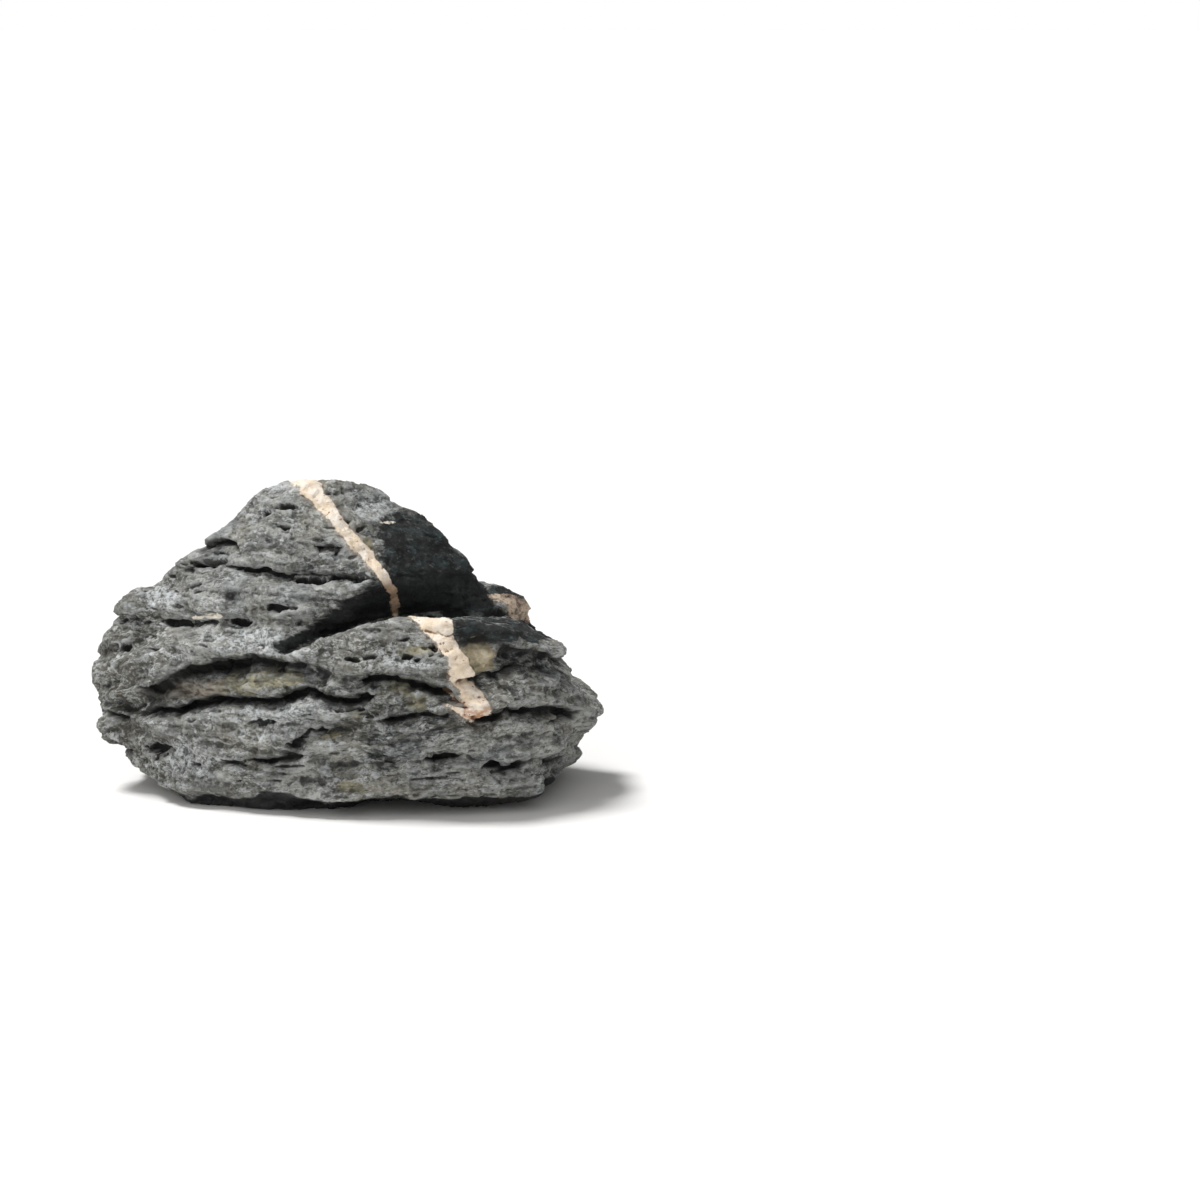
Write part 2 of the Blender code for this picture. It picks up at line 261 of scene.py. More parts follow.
# Beds: they roll and dip, and fan out towards the right. Each roll has a rise, a length and a seed.
# Beds are seldom of one thickness, so their levels drift by a part of it. The face is massive, and the
# beds and their laminae show more at the back.
BED_ROLLS = [(9.0, 95.0, 1), (3.0, 38.0, 2), (0.8, 15.0, 4)]
BED_DIP = 0.12
FAN_MIDDLE = 62.0
FAN_LENGTH = 620.0
ACROSS_BEDS = (0.02, 0.12, 1.0)
ACROSS_SHARE = 0.85
BED = {"thick": 13.0, "long": 42.0, "turn": 0.9, "seed": 3, "reach": 5.2, "overhang": 2.6, "slot": 5.5}
BED_SHOWS, BED_SHOWS_BACK = 0.12, 0.25
DRIFT, DRIFT_LENGTH = 0.9, 2.3
LAYERS_APART = 37.7
SLOT_AT, SLOT_HALF = 0.86, 0.09
NORMAL_ROUNDS = 4
FINE_ROUNDS = 36


def waves(points, size, seed, octaves=1):
    """Smooth noise with waves of the given size, about -0.5 to 0.5 for one octave."""
    places = (points / np.array(size) + seed * np.array([13.7, 7.3, 29.1])).tolist()
    if octaves == 1:
        return np.array([noise.noise(place) for place in places])
    return np.array([noise.fractal(place, 0.9, 2.0, octaves) for place in places])


def bed_height(points):
    """Height across the beds."""
    x, y, z = points.T
    height = z + x * (z - FAN_MIDDLE) / FAN_LENGTH + BED_DIP * y
    for rise, length, seed in BED_ROLLS:
        height = height + rise * waves(points, (length,) * 3, seed)
    return height


def sideways(normals):
    """The normals with most of their part across the beds taken out."""
    across = np.array(ACROSS_BEDS) / np.linalg.norm(ACROSS_BEDS)
    return normals - ACROSS_SHARE * (normals @ across)[:, None] * across


def layers(points, height, kind):
    """How far the layers of a kind stand out: each its own way, leaning out, and with a slot at its top."""
    seed = kind["seed"]
    drift = [noise.noise((0, seed * 5.1, h)) for h in (height / (DRIFT_LENGTH * kind["thick"])).tolist()]
    level = height / kind["thick"] + DRIFT * np.array(drift)
    layer = np.floor(level)
    within = level - layer

    def layer_noise(number, seed):
        flat = np.column_stack([points[:, 0], points[:, 1], number * LAYERS_APART * kind["long"]])
        return waves(flat, (kind["long"],) * 3, seed, 2)

    to_next = ramp(within, kind["turn"], 1.0)
    reach = layer_noise(layer, seed) * (1 - to_next) + layer_noise(layer + 1, seed) * to_next
    overhang = 0.5 * np.cos(math.pi * np.minimum(within / kind["turn"], 1)) * (1 - to_next) + 0.5 * to_next
    slot = ramp(layer_noise(layer + 40, seed + 1), -0.05, 0.2) * bell(within - SLOT_AT, SLOT_HALF)
    return kind["reach"] * reach + kind["overhang"] * overhang - kind["slot"] * slot


def finer_part(relief, edges):
    """The part of a relief that is finer than the solid's own."""
    return relief - smoothed(relief, edges, FINE_ROUNDS)


normals = read_normals(mesh, edges, NORMAL_ROUNDS)
side = sideways(normals)
model = carving_frame(points)
height = bed_height(model)
x, y, z = model.T
warped = np.column_stack([x, y, height])
right_face = ramp(normals[:, 0], 0.1, 0.5) * ramp(z, 74, 84) * ramp(x, 12, 30) * ramp(y, 20, 0)
at_back = ramp(y, 0, 20)
out = (BED_SHOWS + BED_SHOWS_BACK * at_back) * finer_part(layers(model, height, BED), edges)

# Crevices of the face: how far each is open and how deep it is, how much of that its pinched places lose,
# and its line in the front view.
CREVICES = [
    {"open": 2.0, "deep": 3.5, "gaps": 0.9,
     "line": [(-90, 94), (-80, 93), (-71, 95), (-63, 100), (-53, 101), (-42, 98), (5, 93)]},
    {"open": 2.0, "deep": 3.5, "gaps": 0.9,
     "line": [(-118, 76), (-90, 76), (-80, 74), (-46, 74), (-37, 78), (-23, 82)]},
    {"open": 4.6, "deep": 11.0, "gaps": 0.25,
     "line": [(-78, 45), (-62, 54), (-32, 58), (-22, 57)]},
    {"open": 2.6, "deep": 10.0, "gaps": 0.3,
     "line": [(-84, 35), (-68, 36), (-54, 41), (-24, 41), (-10, 44), (8, 40), (17, 43)]},
    {"open": 3.0, "deep": 7.0, "gaps": 0.6, "line": [(-15, 20), (-8, 27), (-3, 28.5)]},
    {"open": 3.0, "deep": 7.0, "gaps": 0.7, "line": [(-42, 13), (-35, 14), (-14, 16)]},
    {"open": 2.6, "deep": 9.0, "gaps": 0.5, "line": [(18, 51), (37, 49), (50, 45), (56, 40)]},
    {"open": 2.6, "deep": 8.0, "gaps": 0.6, "line": [(60, 49), (72, 51), (80, 56)]},
    {"open": 2.6, "deep": 7.0, "gaps": 0.7, "line": [(27, 33), (50, 35)]},
    {"open": 5.0, "deep": 9.0, "gaps": 0.4, "line": [(64, 68), (84, 62), (95, 59), (103, 57)]},
    {"open": 3.5, "deep": 7.0, "gaps": 0.7, "line": [(-70, 112), (-56, 108), (-46, 110)]},
    {"open": 2.4, "deep": 5.0, "gaps": 0.7, "line": [(-118, 35), (-105, 34), (-96, 32)]},
    {"open": 3.5, "deep": 6.0, "gaps": 0.6, "line": [(-118, 20), (-104, 20), (-96, 18), (-88, 14)]},
    {"open": 3.0, "deep": 7.0, "gaps": 0.6, "line": [(66, 34), (84, 37), (104, 35)]},
    {"open": 3.0, "deep": 6.0, "gaps": 0.8, "line": [(38, 15.5), (52, 17), (76, 12), (100, 15)]},
]
# The lines wander up and down: height, size, seed and octaves of the waves.
CREVICE_WANDERS = [(1.8, (16, 16, 16), 40, 1), (1.3, (6, 6, 4), 41, 2)]
CREVICE_WALL = 0.6
# The crevices are cut deeper than in the solid, by this share of their depth.
CUT_DEEPER = 0.5


def drawn_crevices(points, normals, wall, wider=1.0):
    """Depth of the face's crevices: a sharp wall above each line and an open slope below it."""
    u, v = front_view(points)
    for rise, size, seed, octaves in CREVICE_WANDERS:
        v = v + rise * waves(points, size, seed, octaves)
    pinched = ramp(waves(points, (17, 17, 9), 44), 0.1, -0.3)
    depth = np.zeros(len(points))
    for crevice in CREVICES:
        above, distance = from_line(u, v, crevice["line"])
        left = 1 - crevice["gaps"] * pinched
        slope = np.exp(-(distance / (wider * crevice["open"] * (0.4 + 0.8 * left))) ** 1.4)
        profile = np.where(above > 0, bell(distance, wall), slope)
        depth = np.maximum(depth, crevice["deep"] * left * profile)
    return depth * ramp(normals[:, 1], *LINES_END)


crevices = drawn_crevices(model, normals, CREVICE_WALL)
out -= finer_part(crevices, edges)
out -= CUT_DEEPER * crevices

# Laminae: the thin layers that some of the beds split into.
LAMINA = {"thick": 4.2, "long": 15.0, "turn": 0.84, "seed": 6, "reach": 1.1, "overhang": 0.9, "slot": 1.8}
LAMINA_SHOWS, LAMINA_SHOWS_BACK = 0.15, 0.5
split = ramp(waves(model, (40, 40, 12), 30), 0.05, 0.35) * (1 - right_face)
split = split * (LAMINA_SHOWS + LAMINA_SHOWS_BACK * at_back)
out += layers(model, height, LAMINA) * split

# The vein: its course along X at some heights, how it leans back, how many times wider it is along X than
# across, and its half width at some heights in the upper stone and on the foot.
VEIN_COURSE = ([47, 87, 102, 108, 117, 125, 134, 139], [31, 16.2, 5.9, 2.7, -3.8, -8.6, -14.8, -13.5])
VEIN_LEAN = 0.54
VEIN_SLANT = 1.19
UPPER_VEIN = (
    [58, 66, 72, 84, 92, 100, 110, 120, 132, 140],
    [-9, 0, 0.9, 1.3, 1.7, 2.6, 3.6, 3.5, 4.4, 4.7],
)
FOOT_VEIN = ([36, 42, 45, 50, 57, 66, 78, 84, 90], [-9, 0, 4.6, 5.8, 4.0, 4.5, 4.7, 5.6, 8.2])
VEIN_WANDERS = [(1.1, (17, 17, 17), 50, 1), (1.4, (5, 5, 4), 51, 3)]
# A short branch off its lower end, as the camera sees it: half width, how much wider it gets, and its line.
BRANCH_HALF, BRANCH_WIDENS = 0.4, 1.5
VEIN_BRANCH = [(48.5, 36.3), (53, 34), (59.5, 31.3)]


def vein_depth(points):
    """How far inside the vein a point is; below 0 outside it."""
    x, y, z = points.T
    course = np.interp(z, *VEIN_COURSE) - VEIN_LEAN * y
    across = (x - course) / VEIN_SLANT
    for far, size, seed, octaves in VEIN_WANDERS:
        across = across + far * waves(points, size, seed, octaves)
    on_foot = ramp(y, -40, -45) * ramp(z, 92, 88)
    half_width = np.interp(z, *UPPER_VEIN) * (1 - on_foot) + np.interp(z, *FOOT_VEIN) * on_foot
    u, v = camera_view(points)
    _, from_branch = from_line(u, v, VEIN_BRANCH)
    not_behind_foot = 20 * ramp(y, -30, -20)
    branch = BRANCH_HALF + BRANCH_WIDENS * ramp(u, 48, 58) - from_branch - not_behind_foot
    return np.maximum(half_width - np.abs(across), branch)


# Swells and hollows drawn out along the beds, weaker in the massive upper part, and short slots that
# water has opened, which stop at the vein.
SWELL = 3.2
SWELL_SIZE = (18.0, 18.0, 7.5)
RIPPLE = 0.9
RIPPLE_SIZE = (6.0, 6.0, 2.6)
OPENED_DEPTH = 2.6
OPENED_SIZE = (9.0, 9.0, 2.3)
massive = 1 - 0.7 * (ramp(z, 84, 100) * ramp(y, 40, 10))
out += SWELL * waves(warped, SWELL_SIZE, 32, 2) * massive
out += RIPPLE * waves(warped, RIPPLE_SIZE, 36, 3) * massive
worn = ramp(waves(model, (30, 30, 18), 34), -0.2, 0.25)
opened = ramp(waves(warped, OPENED_SIZE, 31), 0.4, 0.6)
in_vein = ramp(vein_depth(model), -0.45, 0.45)
out -= OPENED_DEPTH * opened * (0.25 + 0.75 * worn) * (1 - in_vein)

# Faces that came away clean, a chip beside the vein and, less so, a patch of the rear ledge: place as the
# camera sees it, half width and half height. They and the right face have less of the relief.
CHIPPED_FACE = (63, 62, 11, 11)
LEDGE_FACE = (79, 81, 17, 9)
LEDGE_SHARE = 0.5


def on_face(points, face):
    """1 on a face and 0 outside it, as the camera sees it."""
    u, v = camera_view(points)
    face_u, face_v, half_u, half_v = face
    return patch(np.hypot((u - face_u) / half_u, (v - face_v) / half_v), 1)


chipped = on_face(model, CHIPPED_FACE) * ramp(y, -20, -35)
clean = np.maximum(chipped, LEDGE_SHARE * on_face(model, LEDGE_FACE) * ramp(y, -25, -10))
out *= (1 - 0.85 * clean) * (1 - 0.5 * right_face)
points = points + side * out[:, None]

# Pits in the face: place as the camera sees it, half width, half height and depth.
PITS = [
    (-25, 126, 3.4, 1.2, 3.5), (-34, 123.5, 2.2, 1.2, 3.5), (-25, 116.5, 2.3, 1.6, 4),
    (-17, 113, 1.2, 0.8, 2), (-5, 107, 4, 2.2, 6), (-33, 110.5, 1.6, 1, 2), (-52, 104.8, 3.2, 1, 3),
    (-29, 80.5, 5, 1.4, 5.5),
    (-17, 73, 2.4, 1, 2.5), (-97.6, 62, 2, 1.6, 3), (-84, 62, 2, 1, 2.5), (-67.5, 30, 2, 1, 2),
    (-33.5, 28.5, 4.2, 1.4, 3), (5, 57, 2.6, 1.4, 3.5), (13.5, 58.5, 2.6, 1.2, 3), (-17.5, 31.5, 2, 1.1, 2.5),
    (-82, 17, 4.5, 2.8, 6), (-77, -2, 1.8, 1.2, 3), (-5, 132, 1.3, 0.9, 2), (-15, 130.5, 2.2, 1, 2.5),
    (-6.5, 122.5, 1, 0.8, 1.5), (3.6, 119.7, 1.5, 1.2, 3), (9.8, 116.5, 1.8, 1.4, 2.5),
    (-60.5, 100.7, 7, 1.4, 5.5), (-46.8, 98.4, 1.6, 0.8, 3), (-42.2, 97.4, 1.8, 0.9, 3.5),
    (-35, 97.2, 3.6, 1.1, 4), (-12.8, 93.2, 6.3, 1.4, 6), (5, 94.3, 5.5, 1.5, 6),
    (-73, 74, 5.5, 1.3, 5), (-45.5, 74.2, 4.5, 1.3, 5.5), (-98, 74.4, 1.6, 1.1, 3), (71, 78.5, 5, 3, 3),
    (30, 59, 1.6, 1.3, 4), (34.5, 57, 1, 0.8, 2.5), (42, 62, 1.4, 2.4, 4), (59, 35.3, 3.5, 1.0, 4),
    (5, 35, 6, 1.3, 3.5), (12.5, 32.3, 2.5, 1.6, 3),
]
PIT_ROOF, PIT_FLOOR = 0.6, 1.3
PIT_WIDER = 1.3
PIT_WOBBLE = 0.9
# Where a pit starts and is full, in halves of its size, and for how far back a normal leans.
PIT_EDGE = (1.2, 0.5)
PITS_END = (0.2, -0.2)


def drawn_pits(points, normals):
    """Depth of the face's pits, each with a sharp roof and a floor that slopes out."""
    u, v = camera_view(points)
    wobble = PIT_WOBBLE * waves(points, (4.0, 4.0, 2.5), 43, 2)
    depth = np.zeros(len(points))
    for pit_u, pit_v, half_u, half_v, deep in PITS:
        rise = (v - pit_v) / (half_v * np.where(v > pit_v, PIT_ROOF, PIT_FLOOR))
        off_middle = np.hypot((u - pit_u) / (PIT_WIDER * half_u), rise) + wobble
        depth = np.maximum(depth, deep * ramp(off_middle, *PIT_EDGE))
    return depth * ramp(normals[:, 1], *PITS_END)


points -= normals * (drawn_pits(model, normals) * (1 - 0.8 * in_vein))[:, None]

# The thin tips of the ledges are worn round, where they stand proud of their surroundings.
TIP_ROUNDS = 20
TIP_WORN = 0.7
gap = smoothed(points, edges, TIP_ROUNDS) - points
proud = -np.einsum("ij,ij->i", gap, normals)
points += gap * (TIP_WORN * ramp(proud, 0.4, 1.4))[:, None]

# The vein stands a little proud, is broken into flat facets, and is cracked across on the foot.
VEIN_CRACKS = [80.5, 60]
CRACK_WAVES = 2.5
CRACK_HALF = 0.7
CRACK_DEPTH = 1.6
PROUD, PROUDER_ON_FOOT = 0.3, 0.6
CLEAVAGE_SIZE = 4.2
CLEAVAGE = 0.5


def facets(points, size, seed):
    """Flat facets of a broken surface, each tilted its own way: about -0.5 to 0.5."""
    places = points / size + seed * np.array([3.1, 5.7, 2.3])
    tilt = []
    for place in places.tolist():
        centre = noise.voronoi(place)[1][0]
        lean = noise.cell_vector(centre)
        tilt.append((Vector(place) - centre).dot(lean * 2 - Vector((1, 1, 1))))
    return np.array(tilt)


levels = z + CRACK_WAVES * waves(model, (8.0, 8.0, 8.0), 33)
cracked = np.max([bell(levels - crack, CRACK_HALF) for crack in VEIN_CRACKS], axis=0) * ramp(y, -30, -40)
stands_out = PROUD + PROUDER_ON_FOOT * ramp(z, 86, 78)
relief = stands_out - CRACK_DEPTH * cracked + CLEAVAGE * facets(model, CLEAVAGE_SIZE, 3)
points += normals * (in_vein * relief)[:, None]

# The rock is broken into coarse and fine facets with a rough skin, more so where it is crumbly, and less
# in the vein and on the clean faces.
COARSE, COARSE_SIZE = 0.8, 7.0
FINE, FINE_CRUMBLY, FINE_SIZE = 0.15, 0.35, 3.2
SKIN, SKIN_CRUMBLY, SKIN_SIZE = 0.15, 0.2, (3.0, 3.0, 2.4)
crumbly = np.maximum(ramp(waves(model, (26, 26, 16), 38, 2), -0.1, 0.3), ramp(x, -70, -95))
broken = COARSE * facets(model, COARSE_SIZE, 1)
broken = broken + (FINE + FINE_CRUMBLY * crumbly) * facets(model, FINE_SIZE, 2)
rough = (SKIN + SKIN_CRUMBLY * crumbly) * waves(model, SKIN_SIZE, 35, 3)
points += normals * ((broken + rough) * (1 - 0.6 * in_vein) * (1 - 0.7 * clean))[:, None]

# The foot is undercut: its lowest part draws in towards the middle, by about a tenth.
UNDERCUT_STARTS, UNDERCUT_FULL = 9, 2
UNDERCUT, UNDERCUT_MORE = 0.06, 0.07
undercut = UNDERCUT + UNDERCUT_MORE * ramp(waves(model, (40, 40, 40), 37), -0.3, 0.3)
points[:, :2] *= 1 - (undercut * ramp(points[:, 2], UNDERCUT_STARTS, UNDERCUT_FULL))[:, None]
write_points(mesh, points)

# The carved skin keeps as many triangles as it may have, and stays inside the solid's box.
MOST_TRIANGLES = 198000
INSIDE = 0.01
fewer = stone.modifiers.new("fewer triangles", "DECIMATE")
fewer.ratio = MOST_TRIANGLES / (2 * len(mesh.polygons))
fewer.use_collapse_triangulate = True
take_result(stone)
mesh = stone.data
mesh.shade_smooth()
low, high = (np.array(corner) / MM for corner in cad_box)
write_points(mesh, np.clip(read_points(mesh), low + [INSIDE, INSIDE, 0], high - INSIDE))

# Marks on the points, for the material: the depth in the vein, the height across the beds, and how far a
# point lies behind what is near it and behind what is further off.
edges = read_edges(mesh)
points = read_points(mesh)
normals = read_normals(mesh, edges, 1)
model = carving_frame(points)
x, y, z = model.T
NEAR_ROUNDS, FAR_ROUNDS = 4, 60
PLACE_EDGE = (1.3, 0.5)
PLACES_END = (0.35, -0.05)


def keep_mark(name, values):
    mark = mesh.attributes.new(name, "FLOAT", "POINT")
    mark.data.foreach_set("value", values.astype(np.float32))


def sunk(rounds):
    """How far a point lies behind its smoothed surroundings."""
    gap = smoothed(points, edges, rounds) - points
    return np.einsum("ij,ij->i", gap, read_normals(mesh, edges, rounds))


def in_places(places, seed, ragged):
    """1 inside the places and 0 outside them, with an edge as ragged as asked."""
    u, v = camera_view(model)
    wobble = ragged * waves(model, (7, 7, 5), seed, 2)
    inside = np.zeros(len(model))
    for place_u, place_v, half_u, half_v in places:
        off_middle = np.hypot((u - place_u) / half_u, (v - place_v) / half_v) + wobble
        inside = np.maximum(inside, ramp(off_middle, *PLACE_EDGE))
    return inside * ramp(normals[:, 1], *PLACES_END)


keep_mark("vein", vein_depth(model))
keep_mark("bed", bed_height(model) * MM)
keep_mark("sunk_near", sunk(NEAR_ROUNDS))
keep_mark("sunk_far", sunk(FAR_ROUNDS))

# Places stained ochre, a khaki face that a chip has left beside the vein, crusts of calcite, and places
# frosted with it. Each has a place as the camera sees it, a half width and a half height.
OCHRE_PLACES = [
    (-64, 43, 20, 5), (-31, 48.5, 18, 4.5), (-45, 45, 12, 4), (28, 45, 8, 4), (34, 37.5, 7, 4),
    (-4.5, 22.3, 5, 2.5), (34, 60.5, 9, 3), (5, -0.5, 8, 2.5), (12, 108.5, 3, 4), (8, 32.5, 5, 2),
]
CHIP_PLACES = [(60, 58, 11, 8)]
CRUST_PLACES = [
    (-64.5, 75.6, 3, 0.9), (-57, 76.3, 4.5, 1.3), (84, 79, 10, 6), (73, 84.5, 7, 2.2), (21.6, 118.4, 4, 0.8),
]
FROST_PLACES = [
    (-33, 30, 20, 9), (15, 9, 9, 7), (22, 24, 6, 5), (-36, 64, 16, 7), (15, 125, 10, 5), (-26, 134, 8, 3),
    (-80, 84, 9, 6), (-70, 12, 12, 8), (5, 108, 6, 4), (70, 60, 8, 4), (30, 57, 12, 6), (19, 120, 6, 1.5),
    (88, 69.5, 10, 2),
]
on_chipped_side = ramp(y, -20, -35)
# Right of here the crusts belong to the rear ledge, so they keep off the foot in front of it.
LEDGE_FROM = 60
on_crusted_side = np.where(x > LEDGE_FROM, ramp(y, 2, 10), 1)
keep_mark("ochre", in_places(OCHRE_PLACES, 61, 0.5))
keep_mark("chip", in_places(CHIP_PLACES, 69, 0.4) * on_chipped_side)
keep_mark("crust", in_places(CRUST_PLACES, 62, 0.4) * on_crusted_side)
keep_mark("frost", in_places(FROST_PLACES, 63, 0.7))

# Dark rock and painted shade: the right face, dark rock painted darker as a side turned from the light, from
# a place along X at some heights of the view; painted shadow on the ledge below it; and, less dark, some dim
# places, partly painted shade.
DARK_FROM = ([87, 103, 115, 125, 138], [12, 15, 8, 22, 36])
DARK_WAVES = 6
SHADOWED_PLACES = [(72, 71, 26, 7), (60, 77, 16, 5), (84, 71, 18, 7), (80, 87, 18, 4)]
SHADOWED_SHARE = 1.1
DIM_PLACES = [
    (30, 30, 32, 12), (16, 47, 22, 7), (84, 56, 18, 9), (20, 18, 17, 14), (-8, 96.5, 22, 4), (16, 113, 9, 7),
]
DIM_SHARE = 0.45
SOFT_ROUNDS = 6
# Painted shade in the recess under the upper stone, almost black: a line along its mouth in the front view,
# how far up the shade reaches at its left and how much further at its right, and how far down.
RECESS_LINE = [(-21, 61.5), (-16, 64), (-4, 69), (13, 75), (25, 78), (45, 80), (66, 81)]
SHADE_UP, SHADE_UP_RIGHT, SHADE_DOWN = 4.5, 11, 1.5

u, v = camera_view(model)
front = ramp(y, 30, 0)
dark_edge = np.interp(v, *DARK_FROM) + DARK_WAVES * waves(model, (12, 12, 12), 64, 2)
above, distance = from_line(*front_view(model), RECESS_LINE)
dark = ramp(u - dark_edge, -6, 15) * ramp(above, -1, 2) * front
dark = np.maximum(dark, SHADOWED_SHARE * in_places(SHADOWED_PLACES, 65, 0.5))
dark = np.maximum(dark, DIM_SHARE * in_places(DIM_PLACES, 67, 0.5))
keep_mark("dark_face_and_shade", smoothed(dark, edges, SOFT_ROUNDS))
reach_up = SHADE_UP + SHADE_UP_RIGHT * ramp(u, -20, 25)
recess_shade = ramp(distance / np.where(above > 0, reach_up, SHADE_DOWN), 1.6, 0.5)
keep_mark("recess_shade", smoothed(recess_shade * front, edges, SOFT_ROUNDS))

# Dusky, brownish rock that is partly painted shade: the left end and the left of the foot, turned from the
# light, and some places, among them a band of shade along the upper crevice.
DUSK_PLACES = [
    (-2, 60, 20, 10), (16, 59, 22, 6), (22, 66, 10, 9), (-40, 42, 50, 5), (40, 30, 40, 8), (-4, 98, 20, 2.5),
]
DUSK_SHARE = 0.9
left_end_shade = ramp(x, -45, -95) * ramp(y, -55, -25) + 0.5 * ramp(z, 45, 15) * ramp(x, -10, -50)
keep_mark("dusk", np.maximum(left_end_shade, DUSK_SHARE * in_places(DUSK_PLACES, 66, 0.5)))

# Painted shade in the crevices and pits, full where they are this deep and spreading past their walls, and
# painted shadow along the foot, which rises to the right and has a wavy edge.
SHADE_FULL_CREVICE, SHADE_FULL_PIT = 8, 3
SHADE_WALL, SHADE_WIDER = 2.2, 1.6
FOOT_LEFT, FOOT_RISES, FOOT_WAVES = 2.5, 4.5, 5
crevice_shading = drawn_crevices(model, normals, SHADE_WALL, SHADE_WIDER) / SHADE_FULL_CREVICE
keep_mark("crevice", np.maximum(crevice_shading, drawn_pits(model, normals) / SHADE_FULL_PIT))
foot_shadow_edge = FOOT_LEFT + FOOT_RISES * ramp(u, -75, -35) + FOOT_WAVES * waves(model, (22, 22, 22), 68, 3)
keep_mark("foot", ramp(foot_shadow_edge - z, -2, 1))


def srgb(code):
    """Linear colour of an sRGB hex code."""
    parts = [int(code[i:i + 2], 16) / 255 for i in (1, 3, 5)]
    return tuple(c / 12.92 if c <= 0.04045 else ((c + 0.055) / 1.055) ** 2.4 for c in parts) + (1,)


def add(tree, kind, inputs, **settings):
    """A node with its settings, and a value or another node's output for each of the inputs."""
    node = tree.nodes.new("ShaderNode" + kind)
    for name, value in settings.items():
        setattr(node, name, value)
    for name, value in inputs.items():
        if isinstance(value, bpy.types.NodeSocket):
            tree.links.new(value, node.inputs[name])
        else:
            node.inputs[name].default_value = value
    return node


# Seiryu limestone, weathered: dense blue-grey rock whose face is dull and mottled, paler where it is rubbed,
# with threads of white calcite and rust and ochre stains, and with painted shade that makes it almost black
# in the hollows.
limestone = bpy.data.materials.new("weathered limestone with calcite")
limestone.use_nodes = True
tree = limestone.node_tree
shader = tree.nodes["Principled BSDF"]
place = add(tree, "TexCoord", {}).outputs["Object"]
apart = add(tree, "SeparateXYZ", {0: place})
MARKS = ["vein", "bed", "sunk_near", "sunk_far", "ochre", "chip", "crust", "frost", "dark_face_and_shade", "recess_shade",
         "dusk", "crevice", "foot"]
mark = {name: add(tree, "Attribute", {}, attribute_name=name).outputs["Fac"] for name in MARKS}

# Some patterns are drawn out along the beds, and streaks more than mottles: their height is the height
# across the beds, with a wobble, times the number here.
WOBBLE_SIZE, WOBBLE = 7, 4
MOTTLED, STREAKED = 2.2, 6.0
uneven = {"Vector": place, "Scale": 1 / (WOBBLE_SIZE * MM), "Detail": 3, "Roughness": 0.55}
wobble = add(tree, "TexNoise", uneven)
lifted = {0: wobble.outputs["Fac"], 1: WOBBLE * MM, 2: mark["bed"]}
bed = add(tree, "Math", lifted, operation="MULTIPLY_ADD").outputs[0]
along_beds = {}
for drawn_out in (MOTTLED, STREAKED):
    across = add(tree, "Math", {0: bed, 1: drawn_out}, operation="MULTIPLY").outputs[0]
    flat = {0: apart.outputs[0], 1: apart.outputs[1], 2: across}
    along_beds[drawn_out] = add(tree, "CombineXYZ", flat).outputs[0]
mottled, streaked = along_beds[MOTTLED], along_beds[STREAKED]

# The patterns: the real size of their spots, how much finer detail they hold, how strong that is, and
# whether they lie evenly in the rock or along its beds. The real grain is a few tenths of a millimetre,
# less than a pixel, so it is drawn at 1.2 to 3 mm, as coarse as it needs to show.
PATTERNS = {
    "mottling": (12, 5, 0.6, mottled),
    "warm areas": (24, 2, 0.55, place),
    "cool areas": (21, 2, 0.55, place),
    "dusk": (14, 4, 0.6, mottled),
    "streaks": (8, 4, 0.6, streaked),
    "pale flecks": (4.2, 5, 0.68, mottled),
    "pale areas": (19, 3, 0.55, place),
    "dark flecks": (2.6, 4, 0.7, mottled),
    "grain": (1.5, 3, 0.7, place),
    "grainy areas": (13, 3, 0.55, place),
    "wisps": (8, 4, 0.6, mottled),
    "wispy areas": (15, 2, 0.55, place),
    "frost": (2.2, 5, 0.8, place),
    "halo edge": (5, 4, 0.55, place),
    "stain and shade edge": (5, 4, 0.6, mottled),
    "stain": (4, 4, 0.6, mottled),
    "dark rock": (9, 5, 0.65, mottled),
    "dark rock flecks": (3, 4, 0.7, mottled),
    "dark rock edge": (8, 6, 0.7, mottled),
    "rubbed": (5, 4, 0.65, mottled),
    "chip edge": (4, 4, 0.65, place),
    "chip": (6, 4, 0.65, place),
    "crust edge": (2.4, 4, 0.65, place),
    "white crust": (2, 3, 0.55, place),
    "brown crust": (6, 5, 0.72, place),
    "brown crust flecks": (2.4, 4, 0.7, mottled),
    "recess edge": (9, 5, 0.65, streaked),
    "soft spots": (4, 3, 0.55, place),
    "vein edge": (1.9, 4, 0.65, place),
    "calcite": (7, 4, 0.55, place),
    "calcite tan": (3.3, 5, 0.65, place),
    "calcite specks": (1.2, 3, 0.7, place),
    "rust spots": (2.6, 2, 0.55, place),
    "fine grains": (1.5, 4, 0.65, place),
    "coarse grains": (3.0, 4, 0.65, mottled),
}
pattern = {}
for name, (size, detail, roughness, where) in PATTERNS.items():
    spots = {"Vector": where, "Scale": 1 / (size * MM), "Detail": detail, "Roughness": roughness}
    pattern[name] = add(tree, "TexNoise", spots).outputs["Fac"]


def lay(under, over, *limits, most=1.0):
    """One colour over another, at most so much of it, and only as far as all of the limits allow: each is
    what limits it, where it starts, where it is full, and the shares there if they aren't 0 and 1."""
    amount = most
    for value, start, full, *shares in limits:
        low, high = shares or (0, 1)
        rise = {"Value": value, "From Min": start, "From Max": full, "To Min": low, "To Max": high}
        share = add(tree, "MapRange", rise, interpolation_type="SMOOTHSTEP").outputs["Result"]
        amount = add(tree, "Math", {0: amount, 1: share}, operation="MULTIPLY").outputs[0]
    under, over = (srgb(colour) if isinstance(colour, str) else colour for colour in (under, over))
    return add(tree, "Mix", {0: amount, 6: under, 7: over}, data_type="RGBA").outputs[2]


